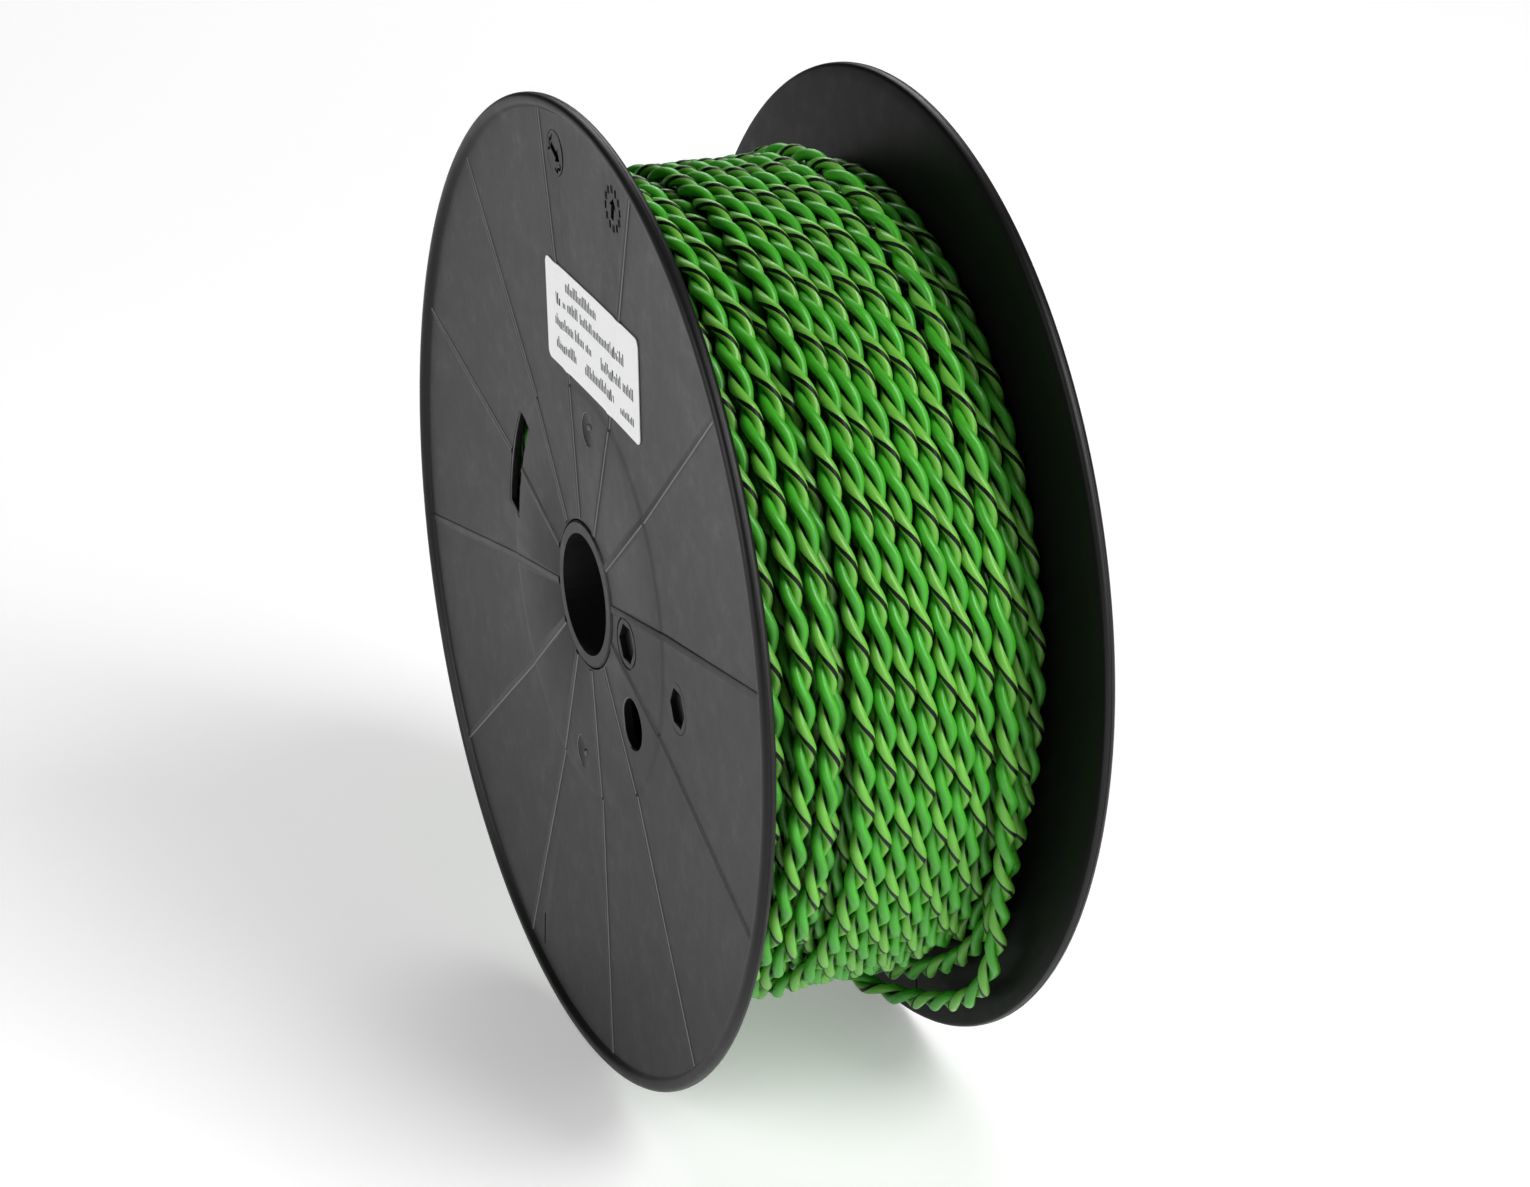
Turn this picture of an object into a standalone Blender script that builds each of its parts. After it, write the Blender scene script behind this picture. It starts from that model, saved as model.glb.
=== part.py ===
"""Moulded plastic cable reel wound with 100 m of twisted two-core wire.

Axis of the reel along X, the labelled flange at -X, +Z up, origin on the axis halfway between the
flanges.  Lengths in the tables below are millimetres and angles are degrees; MM turns them to metres.
"""
import math

import bmesh
import bpy
from mathutils import Matrix, Vector

MM = 0.001

# ---------------------------------------------------------------- driving dimensions (mm)
FLANGE_R = 125.0            # outer radius of both flanges
RIM_FACE_X = 43.2           # furthest plane of the rim bead from the middle of the reel
RIM_INNER_X = 40.0          # inner corner of the rim edge
RIM_BAND = 4.1              # radial width of the rim bead
BARREL_R = 50.0             # outside of the barrel that carries the winding
BARREL_WALL = 2.6
DISC_R = 53.0               # raised central disc on the outer face
DISC_X = 38.9               # outer face of the central disc
DISC_STEP = 0.25            # height of the disc above the surrounding face
DISH_SLOPE = 0.040          # the face leans outwards towards the rim
PLATE_T = 2.4               # flange plate thickness at the barrel
BORE_R = 15.6               # spindle bore
HUB_R = 18.7                # outside of the hub tube
GAP = 0.3                   # clearance between neighbouring pieces
WINDING_END_GAP = 0.5       # between the winding and the flanges
WINDING_R = 98.8            # top of the full layers
TURN_TOP_R = 104.5          # crest of the topmost layer
LOW_TURN_TOP_R = 101.5      # crest of the turns that lie half a layer lower
TURN_HALF = 2.5             # half of the turn spacing
CABLE_R = 2.6               # envelope radius of the twisted pair

FLANGE_STEPS = 72
RIB_COUNT = 12
RIB_START_DEG = 9.57        # first rib, measured from the horizontal, seen from outside
RIB_W, RIB_H = 2.1, 0.3
RIB_SINK = 0.9              # how deep a rib's root sits in the plate
STEP_DEG = 360.0 / RIB_COUNT


def face_x(r):
    """Distance of the flange's outer face from the middle plane at radius r."""
    if r <= DISC_R:
        return DISC_X
    return DISC_X - DISC_STEP + DISH_SLOPE * (r - DISC_R)


def inner_x(r):
    """Distance of the flange's inner face from the middle plane at radius r."""
    taper = (r - BARREL_R) / (FLANGE_R - RIM_BAND - BARREL_R)
    at_barrel, at_rim = DISC_X - PLATE_T, RIM_INNER_X - 0.4
    return at_barrel + max(0.0, taper) * (at_rim - at_barrel)


# ---------------------------------------------------------------- scene and collections
for old in list(bpy.data.objects):
    bpy.data.objects.remove(old, do_unlink=True)


def collection(name):
    made = bpy.data.collections.new(name)
    bpy.context.scene.collection.children.link(made)
    return made


REEL = collection("cable_reel")
CUTTERS = collection("cutters")
RIBS = collection("rib_blanks")


def material(name, colour, roughness, metallic=0.0):
    made = bpy.data.materials.new(name)
    made.use_nodes = True
    shader = made.node_tree.nodes["Principled BSDF"]
    shader.inputs["Base Color"].default_value = (*colour, 1.0)
    shader.inputs["Roughness"].default_value = roughness
    shader.inputs["Metallic"].default_value = metallic
    made.diffuse_color = (*colour, 1.0)
    return made


BLACK = material("black_moulding", (0.055, 0.055, 0.058), 0.42)
INNER_BLACK = material("black_inner_parts", (0.035, 0.035, 0.037), 0.5)
GREEN = material("green_insulation", (0.08, 0.46, 0.05), 0.33)
PAPER = material("white_label", (0.86, 0.86, 0.86), 0.5)


def place(mesh, name, mat, home=REEL, matrix=None):
    obj = bpy.data.objects.new(name, mesh)
    home.objects.link(obj)
    if mat and not mesh.materials:
        mesh.materials.append(mat)
    if matrix is not None:
        obj.matrix_world = matrix
    if home is not REEL:
        obj.hide_render = True
        obj.display_type = "WIRE"
    return obj


def smooth(mesh, angle=35.0):
    mesh.shade_smooth()
    mesh.set_sharp_from_angle(angle=math.radians(angle))


# Local axes of a turned or moulded piece: local Z runs outwards along the reel's axis.
LABEL_SIDE = Matrix(((0, 0, -1, 0), (-1, 0, 0, 0), (0, 1, 0, 0), (0, 0, 0, 1)))
FAR_SIDE = Matrix(((0, 0, 1, 0), (1, 0, 0, 0), (0, 1, 0, 0), (0, 0, 0, 1)))


def turned(name, profile, steps, mat, home=REEL, matrix=None):
    """Ring of a closed profile of (radius, height) points, listed down the outer side first.

    A facet, not a corner, faces straight down, so that a rim has a flat to stand on.
    """
    half_step = math.pi / steps
    mesh = bpy.data.meshes.new(name)
    points = [(r * MM * math.cos(half_step), r * MM * math.sin(half_step), h * MM) for r, h in profile]
    edges = [(i, (i + 1) % len(points)) for i in range(len(points))]
    mesh.from_pydata(points, edges, [])
    obj = place(mesh, name, mat, home, matrix)
    screw = obj.modifiers.new("turn", "SCREW")
    screw.axis = "Z"
    screw.angle = 2.0 * math.pi
    screw.steps = screw.render_steps = steps
    screw.use_merge_vertices = True
    screw.merge_threshold = 0.00001
    screw.use_smooth_shade = True
    return obj


def evaluated_mesh(obj, name, weld=0.0):
    """The object's mesh with its modifiers applied, in the object's own frame."""
    graph = bpy.context.evaluated_depsgraph_get()
    mesh = bpy.data.meshes.new_from_object(obj.evaluated_get(graph))
    mesh.name = name
    if weld:
        work = bmesh.new()
        work.from_mesh(mesh)
        bmesh.ops.remove_doubles(work, verts=work.verts, dist=weld)
        bmesh.ops.recalc_face_normals(work, faces=work.faces)
        work.to_mesh(mesh)
        work.free()
    return mesh


def flat_outline(name, points, thickness, home, mat=None):
    """Mesh plate from an outline of (x, y) points, thickness centred on z = 0."""
    curve = bpy.data.curves.new(name, "CURVE")
    curve.dimensions = "2D"
    curve.fill_mode = "BOTH"
    curve.extrude = 0.5 * thickness * MM
    spline = curve.splines.new("POLY")
    spline.points.add(len(points) - 1)
    for point, (x, y) in zip(spline.points, points):
        point.co = (x * MM, y * MM, 0.0, 1.0)
    spline.use_cyclic_u = True
    holder = place(curve, name + "_curve", None, CUTTERS)
    mesh = evaluated_mesh(holder, name, weld=0.00002)
    bpy.data.objects.remove(holder, do_unlink=True)
    bpy.data.curves.remove(curve)
    return place(mesh, name, mat, home)


def cylinder(name, radius, depth, segments, home=CUTTERS, mat=None):
    mesh = bpy.data.meshes.new(name)
    work = bmesh.new()
    bmesh.ops.create_cone(work, cap_ends=True, segments=segments, radius1=radius * MM,
                          radius2=radius * MM, depth=depth * MM)
    work.to_mesh(mesh)
    work.free()
    return place(mesh, name, mat, home)


def box(name, size, home=CUTTERS, mat=None, shift=(0.0, 0.0, 0.0)):
    mesh = bpy.data.meshes.new(name)
    work = bmesh.new()
    bmesh.ops.create_cube(work, size=1.0)
    bmesh.ops.scale(work, verts=work.verts, vec=[s * MM for s in size])
    bmesh.ops.translate(work, verts=work.verts, vec=[s * MM for s in shift])
    work.to_mesh(mesh)
    work.free()
    return place(mesh, name, mat, home)


def polar(radius, angle_deg, height):
    """Matrix at (radius, angle) on the flange face, local X pointing outwards along the radius."""
    spin = Matrix.Rotation(math.radians(angle_deg), 4, "Z")
    return spin @ Matrix.Translation((radius * MM, 0.0, height * MM))


# ---------------------------------------------------------------- flange moulding
# Features on the face as (radius, angle seen from outside); the angles sit midway between two ribs.
DRIVE_HOLE = (39.3, RIB_START_DEG - 1.5 * STEP_DEG)
DRIVE_HOLE_R = 6.5
HEX_SOCKETS = ((29.2, RIB_START_DEG - 0.5 * STEP_DEG), (64.4, RIB_START_DEG - 0.5 * STEP_DEG))
HEX_CORNER_R = 5.05
HEX_DEPTH = 1.7
SLOT_MID_DEG = RIB_START_DEG + 5 * STEP_DEG
SLOT_R = (50.4, 58.0)
SLOT_HALF_DEG = (16.9, 14.8)
GATE_MARKS = ((45.0, RIB_START_DEG + 2.5 * STEP_DEG), (45.0, RIB_START_DEG - 3.5 * STEP_DEG))
GATE_R = 4.6
GATE_DEPTH = 0.7
TIE_SLIT = (113.8, -106.5)
TIE_SLIT_SIZE = (0.7, 9.3)
HUB_HOLE_R = HUB_R + GAP
COLLAR_R = BARREL_R - BARREL_WALL - GAP
COLLAR_WALL = 1.6
COLLAR_LENGTH = 5.0


def flange_profile():
    edge = FLANGE_R
    crest = RIM_FACE_X
    rim_foot = edge - RIM_BAND
    collar_in = COLLAR_R - COLLAR_WALL
    collar_end = inner_x(0.0) - COLLAR_LENGTH
    outer_side = [(HUB_HOLE_R, face_x(0.0)), (DISC_R, face_x(0.0)), (DISC_R + 0.35, face_x(DISC_R + 0.35)),
                  (rim_foot, face_x(rim_foot)), (rim_foot + 1.4, crest), (edge - 1.5, crest),
                  (edge - 0.45, crest - 0.4), (edge, crest - 1.0)]
    inner_side = [(edge, RIM_INNER_X + 0.5), (edge - 0.5, RIM_INNER_X), (rim_foot, inner_x(rim_foot)),
                  (BARREL_R, inner_x(BARREL_R)), (COLLAR_R, inner_x(0.0)), (COLLAR_R, collar_end),
                  (collar_in, collar_end), (collar_in, inner_x(0.0)), (HUB_HOLE_R, inner_x(0.0))]
    return outer_side + inner_side


def rib_blanks():
    """Twelve low radial ribs that follow the dished face from the hub to the rim bead."""
    start, end = HUB_HOLE_R + 0.6, FLANGE_R - RIM_BAND + 0.3
    bend = DISC_R + 0.35
    top = [(start, face_x(0.0) + RIB_H), (DISC_R, face_x(0.0) + RIB_H), (bend, face_x(bend) + RIB_H),
           (end, face_x(end) + RIB_H)]
    root = [(end, face_x(end) - RIB_SINK), (bend, face_x(bend) - RIB_SINK), (start, face_x(0.0) - RIB_SINK)]
    first = flat_outline("rib_blank", top + root, RIB_W, RIBS)
    stand = Matrix.Rotation(math.radians(90.0), 4, "X")
    for k in range(RIB_COUNT):
        rib = first if k == 0 else place(first.data, f"rib_blank_{k}", None, RIBS)
        rib.matrix_world = Matrix.Rotation(math.radians(RIB_START_DEG + k * STEP_DEG), 4, "Z") @ stand


def arc_slot_outline():
    """Curved slot just outside the barrel, its ends cut on a slant."""
    points = []
    count = 8
    for radius, half in zip(SLOT_R, SLOT_HALF_DEG):
        arc = []
        for i in range(count + 1):
            angle = math.radians(SLOT_MID_DEG - half + 2.0 * half * i / count)
            arc.append((radius * math.cos(angle), radius * math.sin(angle)))
        points += arc if radius == SLOT_R[0] else arc[::-1]
    return points


def flange_cutters():
    slot = flat_outline("cut_wire_slot", arc_slot_outline(), 12.0, CUTTERS)
    slot.matrix_world = Matrix.Translation((0.0, 0.0, DISC_X * MM))
    hole = cylinder("cut_drive_hole", DRIVE_HOLE_R, 12.0, 28)
    hole.matrix_world = polar(*DRIVE_HOLE, DISC_X)
    for number, (radius, angle) in enumerate(HEX_SOCKETS):
        socket = cylinder(f"cut_hex_{number}", HEX_CORNER_R, 2.0 * HEX_DEPTH, 6)
        # create_cone puts a corner on local X, so the corners line up with the radius
        socket.matrix_world = polar(radius, angle, face_x(radius))
    for number, (radius, angle) in enumerate(GATE_MARKS):
        sphere_r = (GATE_R ** 2 + GATE_DEPTH ** 2) / (2.0 * GATE_DEPTH)
        mesh = bpy.data.meshes.new(f"cut_gate_{number}")
        work = bmesh.new()
        bmesh.ops.create_uvsphere(work, u_segments=20, v_segments=36, radius=sphere_r * MM)
        work.to_mesh(mesh)
        work.free()
        mark = place(mesh, f"cut_gate_{number}", None, CUTTERS)
        mark.matrix_world = polar(radius, angle, face_x(radius) - GATE_DEPTH + sphere_r)
    width, length = TIE_SLIT_SIZE
    slit = box("cut_tie_slit", (width, length, 12.0))
    radius, angle = TIE_SLIT
    slit.matrix_world = Matrix.Translation((radius * MM * math.cos(math.radians(angle)),
                                            radius * MM * math.sin(math.radians(angle)), 41.0 * MM))


def add_boolean(obj, name, operation, operands):
    cut = obj.modifiers.new(name, "BOOLEAN")
    cut.operation = operation
    cut.operand_type = "COLLECTION"
    cut.collection = operands
    cut.solver = "EXACT"


def flanges():
    rib_blanks()
    flange_cutters()
    blank = turned("flange_blank", flange_profile(), FLANGE_STEPS, BLACK)
    add_boolean(blank, "ribs", "UNION", RIBS)
    add_boolean(blank, "openings", "DIFFERENCE", CUTTERS)
    mesh = evaluated_mesh(blank, "flange_moulding")
    bpy.data.objects.remove(blank, do_unlink=True)
    smooth(mesh, 25.0)
    place(mesh, "flange_label_side", BLACK, matrix=LABEL_SIDE)
    place(mesh, "flange_far_side", BLACK, matrix=FAR_SIDE)


# ---------------------------------------------------------------- barrel, hub and webs
HUB_FACE_X = 39.2           # the hub tube stands a little proud of the disc
HUB_SPLIT_R = 17.15         # middle of the tube wall, where the spigot meets the socket
SPIGOT_LENGTH = 6.0
HUB_COLLAR_R = 20.6         # collar that the snap hooks grip
HUB_COLLAR_X = (26.0, 28.0)
WEB_COUNT = 6
WEB_T = 1.6
HOOK_COUNT = 4
HOOK_W = 5.0


def barrel():
    end = inner_x(BARREL_R) - GAP
    inside = BARREL_R - BARREL_WALL
    profile = [(BARREL_R, end), (BARREL_R, -end), (inside, -end), (inside, end)]
    turned("barrel", profile, 48, BLACK, matrix=FAR_SIDE)


def hub_tube(name, spigot, matrix):
    """Half of the spindle tube; one half's spigot slides into the other half's socket."""
    low, high = HUB_COLLAR_X
    outside = [(BORE_R, HUB_FACE_X), (HUB_R - 0.4, HUB_FACE_X), (HUB_R, HUB_FACE_X - 0.4), (HUB_R, high),
               (HUB_COLLAR_R, high), (HUB_COLLAR_R, low), (HUB_R, low)]
    if spigot:
        root = SPIGOT_LENGTH
        joint = [(HUB_R, root), (HUB_SPLIT_R, root), (HUB_SPLIT_R, -root), (BORE_R, -root)]
    else:
        joint = [(HUB_R, -SPIGOT_LENGTH + GAP), (HUB_SPLIT_R + GAP, -SPIGOT_LENGTH + GAP),
                 (HUB_SPLIT_R + GAP, SPIGOT_LENGTH + GAP), (BORE_R, SPIGOT_LENGTH + GAP)]
    turned(name, outside + joint, 36, INNER_BLACK, matrix=matrix)


def webs():
    """Radial plates that tie the hub tube to the barrel between the two locating collars."""
    inner, outer = HUB_R + 0.5, BARREL_R - BARREL_WALL - 0.5
    clear_of_hub_collar = HUB_COLLAR_R + GAP + 3.0
    half_length = inner_x(0.0) - COLLAR_LENGTH - GAP
    short = HUB_COLLAR_X[0] - 3.0
    outline = [(outer, half_length), (clear_of_hub_collar, half_length), (clear_of_hub_collar, short),
               (inner, short), (inner, -short), (clear_of_hub_collar, -short),
               (clear_of_hub_collar, -half_length), (outer, -half_length)]
    first = flat_outline("barrel_web_1", outline, WEB_T, REEL, INNER_BLACK)
    stand = Matrix.Rotation(math.radians(90.0), 4, "X")
    for k in range(WEB_COUNT):
        web = first if k == 0 else place(first.data, f"barrel_web_{k + 1}", INNER_BLACK)
        spin = Matrix.Rotation(math.radians(RIB_START_DEG + k * 360.0 / WEB_COUNT), 4, "Z")
        web.matrix_world = LABEL_SIDE @ spin @ stand


def snap_hooks(name, matrix):
    """Four hooked fingers between a flange and the collar on its hub tube."""
    finger_r = HUB_COLLAR_R + GAP
    foot = inner_x(0.0) - GAP
    barb = HUB_COLLAR_X[0] - GAP
    outline = [(finger_r, foot), (finger_r, barb), (HUB_R + GAP, barb), (finger_r, barb - 1.8),
               (finger_r + 1.8, barb - 1.8), (finger_r + 1.8, foot)]
    first = flat_outline(name + "_1", outline, HOOK_W, REEL, INNER_BLACK)
    stand = Matrix.Rotation(math.radians(90.0), 4, "X")
    for k in range(HOOK_COUNT):
        hook = first if k == 0 else place(first.data, f"{name}_{k + 1}", INNER_BLACK)
        spin = Matrix.Rotation(math.radians(RIB_START_DEG + 0.5 * STEP_DEG + k * 360.0 / HOOK_COUNT), 4, "Z")
        hook.matrix_world = matrix @ spin @ stand


# ---------------------------------------------------------------- label
LABEL_SIZE = (64.0, 26.6)
LABEL_MID = (10.7, 67.7)
LABEL_TURN_DEG = -3.4
LABEL_T = 0.2
LABEL_LIFT = RIB_H + GAP


def label():
    """Sticker laid over the ribs, following the dished face."""
    columns, rows = 10, 4
    mesh = bpy.data.meshes.new("label")
    work = bmesh.new()
    bmesh.ops.create_grid(work, x_segments=columns, y_segments=rows, size=0.5)
    turn = Matrix.Rotation(math.radians(LABEL_TURN_DEG), 2)
    for vert in work.verts:
        flat = turn @ Vector((vert.co.x * LABEL_SIZE[0], vert.co.y * LABEL_SIZE[1]))
        x, y = flat.x + LABEL_MID[0], flat.y + LABEL_MID[1]
        vert.co = (x * MM, y * MM, (face_x(max(DISC_R + 1.0, math.hypot(x, y))) + LABEL_LIFT) * MM)
    work.to_mesh(mesh)
    work.free()
    sticker = place(mesh, "label", PAPER, matrix=LABEL_SIDE)
    thick = sticker.modifiers.new("paper", "SOLIDIFY")
    thick.thickness = LABEL_T * MM
    thick.offset = 1.0


# ---------------------------------------------------------------- winding
# Middles of the topmost turns along the axis, grouped as they lie on the reel.
NEAR_LOW_TURNS = (-35.7, -30.4)
NEAR_TURNS = (-24.9, -19.3)
MIDDLE_TURNS = (-10.2, -5.2, -0.2, 4.8, 9.9, 14.8, 19.8)
FAR_LOW_TURNS = (31.0, 36.1)


def scallops(turns, top):
    """Crest line over neighbouring turns, from +x to -x, as (radius, x) points."""
    line = []
    for x in sorted(turns, reverse=True):
        line += [(top - 1.7, x + TURN_HALF), (top - 0.2, x + 0.45 * TURN_HALF),
                 (top - 0.2, x - 0.45 * TURN_HALF)]
    line.append((top - 1.7, min(turns) - TURN_HALF))
    return line


def ring(name, crest, floor_r, steps):
    """Turned ring under a crest line of (radius, x) points, down to a floor radius."""
    floor = [(floor_r, crest[-1][1]), (floor_r, crest[0][1])]
    turned(name, crest + floor, steps, GREEN, matrix=FAR_SIDE)


def winding():
    bottom, top = BARREL_R + GAP, WINDING_R
    low_end, high_end = inner_x(bottom) - WINDING_END_GAP, inner_x(top) - WINDING_END_GAP
    profile = [(top, high_end), (top, -high_end), (bottom, -low_end), (bottom, low_end)]
    turned("cable_full_layers", profile, 44, GREEN, matrix=FAR_SIDE)
    floor = WINDING_R + GAP
    near = scallops(NEAR_TURNS, TURN_TOP_R) + scallops(NEAR_LOW_TURNS, LOW_TURN_TOP_R)
    ring("cable_top_turns_near", near, floor, 44)
    ring("cable_top_turns_middle", scallops(MIDDLE_TURNS, TURN_TOP_R), floor, 44)
    ring("cable_top_turns_far", scallops(FAR_LOW_TURNS, LOW_TURN_TOP_R), floor, 44)


# The last turn of the cable, as (angle up from -Y about the axis, radius, x), read from the back of
# the reel over the top, down the front, then loose under the winding and in beside the near flange.
LAST_TURN = (
    (196, 102.4, 25.3), (180, 103.2, 25.3), (160, 103.6, 25.3), (140, 103.6, 25.3), (120, 103.6, 25.3),
    (100, 103.6, 25.3), (80, 103.6, 25.3), (60, 103.6, 25.3), (40, 103.6, 25.3), (20, 103.6, 25.5),
    (4, 103.6, 26.1), (-8, 103.9, 27.2), (-18, 105.2, 28.9), (-26, 107.4, 31.0), (-33, 110.4, 32.6),
    (-39, 113.0, 33.8), (-45, 116.0, 34.2), (-51, 117.3, 34.1), (-57, 117.0, 33.9), (-63, 116.2, 33.2),
    (-69, 115.6, 31.6), (-74, 114.4, 29.2), (-79, 112.4, 25.4), (-86, 110.4, 21.4), (-95, 109.9, 16.4),
    (-105, 109.8, 10.9), (-116, 109.7, 4.6), (-127, 109.3, -2.4), (-138, 108.5, -10.4), (-148, 107.9, -18.0),
    (-157, 107.5, -24.6), (-165, 107.0, -29.6), (-174, 105.6, -32.8), (-186, 104.5, -33.5),
    (-200, 104.4, -33.5),
)


def smooth_route(points, step):
    """Points every step (mm) along a smooth curve through the given points."""
    route = []
    for i in range(len(points) - 1):
        before = points[max(i - 1, 0)]
        here, there = points[i], points[i + 1]
        after = points[min(i + 2, len(points) - 1)]
        pieces = max(1, round((there - here).length / step))
        for k in range(pieces):
            t = k / pieces
            route.append(0.5 * (2.0 * here + (there - before) * t
                                + (2.0 * before - 5.0 * here + 4.0 * there - after) * t * t
                                + (3.0 * here - before - 3.0 * there + after) * t * t * t))
    return route + [points[-1]]


def last_turn():
    corners = [Vector((x, -r * math.cos(math.radians(a)), r * math.sin(math.radians(a))))
               for a, r, x in LAST_TURN]
    route = smooth_route(corners, 9.0)
    curve = bpy.data.curves.new("cable_last_turn", "CURVE")
    curve.dimensions = "3D"
    curve.bevel_depth = CABLE_R * MM
    curve.bevel_resolution = 2
    curve.use_fill_caps = True
    spline = curve.splines.new("POLY")
    spline.points.add(len(route) - 1)
    for point, spot in zip(spline.points, route):
        point.co = (*(spot * MM), 1.0)
    curve.materials.append(GREEN)
    REEL.objects.link(bpy.data.objects.new("cable_last_turn", curve))


flanges()
barrel()
hub_tube("hub_tube_label_side", True, LABEL_SIDE)
hub_tube("hub_tube_far_side", False, FAR_SIDE)
webs()
snap_hooks("snap_hook_label_side", LABEL_SIDE)
snap_hooks("snap_hook_far_side", FAR_SIDE)
label()
winding()
last_turn()
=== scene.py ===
import math

import bmesh
import bpy
import numpy as np
from mathutils import Matrix, Vector


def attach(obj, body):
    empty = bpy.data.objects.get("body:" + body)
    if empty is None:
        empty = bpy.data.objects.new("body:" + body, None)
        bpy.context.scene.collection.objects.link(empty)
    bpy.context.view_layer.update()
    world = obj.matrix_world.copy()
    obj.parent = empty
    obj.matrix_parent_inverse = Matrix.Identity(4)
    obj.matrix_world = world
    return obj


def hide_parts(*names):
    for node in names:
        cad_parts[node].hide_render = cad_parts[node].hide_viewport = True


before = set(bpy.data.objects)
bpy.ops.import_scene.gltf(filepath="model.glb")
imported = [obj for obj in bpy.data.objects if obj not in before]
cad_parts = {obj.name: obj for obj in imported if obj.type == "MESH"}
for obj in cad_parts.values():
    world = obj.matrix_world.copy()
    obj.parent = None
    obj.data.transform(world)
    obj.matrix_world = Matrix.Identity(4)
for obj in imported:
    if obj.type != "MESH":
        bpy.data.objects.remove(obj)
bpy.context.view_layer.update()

MM = 0.001
rng = np.random.default_rng(7)

# Local axes of a piece that belongs to one flange: local Z runs outwards along the reel's axis.
LABEL_SIDE = Matrix(((0, 0, -1, 0), (-1, 0, 0, 0), (0, 1, 0, 0), (0, 0, 0, 1)))
FAR_SIDE = Matrix(((0, 0, 1, 0), (1, 0, 0, 0), (0, 1, 0, 0), (0, 0, 0, 1)))

# ---------------------------------------------------------------- reel dimensions, as in the CAD model
EDGE_R = 124.85
BARREL_R = 50.0
DISC_R, DISC_X, DISC_STEP = 53.0, 38.9, 0.25
DISH_SLOPE = 0.040
PLATE_INNER_X = 36.5
RIM_INNER_X = 39.6
HUB_HOLE_R = 19.0
RIM_FOOT_R = 120.9
RIB_COUNT, RIB_START, STEP = 12, 9.57, 30.0


def face_x(r):
    """Distance of a flange's outer face from the middle plane at radius r."""
    if r <= DISC_R:
        return DISC_X
    return DISC_X - DISC_STEP + DISH_SLOPE * (r - DISC_R)


# ---------------------------------------------------------------- camera, floor and light
CAMERA_TURN, CAMERA_RISE = -22.98, 22.0       # degrees: below zero is from -Y towards -X, and up
CAMERA_SPOT = (822.38, 9.04, -5.48)           # back, right and up from the origin, along its own axes
CAMERA_LENS = 76.161


def add_camera():
    azimuth, elevation = math.radians(CAMERA_TURN), math.radians(CAMERA_RISE)
    back = Vector((math.sin(azimuth) * math.cos(elevation), -math.cos(azimuth) * math.cos(elevation),
                   math.sin(elevation)))
    right = Vector((math.cos(azimuth), math.sin(azimuth), 0.0))
    up = back.cross(right)
    lens = bpy.data.cameras.new("camera")
    lens.lens = CAMERA_LENS
    lens.sensor_width = 36.0
    lens.clip_start, lens.clip_end = 0.05, 50.0
    camera = bpy.data.objects.new("camera", lens)
    away, across, rise = CAMERA_SPOT
    spot = (back * away + right * across + up * rise) * MM
    camera.matrix_world = Matrix.Translation(spot) @ Matrix((right, up, back)).transposed().to_4x4()
    bpy.context.scene.collection.objects.link(camera)
    bpy.context.scene.camera = camera


def add_area_light(name, spot, size, power, aim=(0.0, 0.0, 0.0)):
    lamp = bpy.data.lights.new(name, "AREA")
    lamp.shape = "RECTANGLE"
    lamp.size, lamp.size_y = size
    lamp.energy = power
    lamp_object = bpy.data.objects.new(name, lamp)
    lamp_object.location = spot
    lamp_object.rotation_euler = (Vector(aim) - Vector(spot)).to_track_quat("-Z", "Y").to_euler()
    bpy.context.scene.collection.objects.link(lamp_object)


FLOOR_HALF, FLOOR_GAP = 9.0, 0.0001           # metres: half the floor's side, and how far below the rims


def add_studio():
    """Soft lamps round the reel, a wash on the floor behind it, and the pale floor itself."""
    world = bpy.data.worlds.new("studio")
    world.use_nodes = True
    world.node_tree.nodes["Background"].inputs["Color"].default_value = (1.0, 1.0, 1.0, 1.0)
    world.node_tree.nodes["Background"].inputs["Strength"].default_value = 0.0
    bpy.context.scene.world = world
    bpy.context.scene.view_settings.view_transform = "Standard"

    add_area_light("key_light", (1.06, -1.84, 0.57), (1.0, 1.0), 18.0)
    add_area_light("high_light", (0.78, -1.35, 1.56), (1.0, 1.0), 33.0)
    add_area_light("left_light", (-2.07, -0.2, 0.75), (1.2, 1.2), 21.0)
    add_area_light("back_light", (0.84, 1.46, 1.41), (1.2, 1.2), 8.0)
    add_area_light("wash_light", (0.9, 3.4, 2.6), (3.0, 2.0), 60.0, (0.8, 2.2, 0.0))

    floor_mesh = bpy.data.meshes.new("floor")
    half = FLOOR_HALF
    level = -EDGE_R * MM - FLOOR_GAP
    floor_mesh.from_pydata([(-half, -half, level), (half, -half, level), (half, half, level),
                            (-half, half, level)], [], [(0, 1, 2, 3)])
    floor = bpy.data.objects.new("floor", floor_mesh)
    bpy.context.scene.collection.objects.link(floor)
    paper = bpy.data.materials.new("floor_paper")
    paper.use_nodes = True
    shader = paper.node_tree.nodes["Principled BSDF"]
    shader.inputs["Base Color"].default_value = (0.86, 0.86, 0.86, 1.0)
    shader.inputs["Roughness"].default_value = 0.9
    shader.inputs["Specular IOR Level"].default_value = 0.1
    shader.inputs["Emission Color"].default_value = (1.0, 1.0, 1.0, 1.0)
    shader.inputs["Emission Strength"].default_value = 0.30
    floor_mesh.materials.append(paper)


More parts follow.
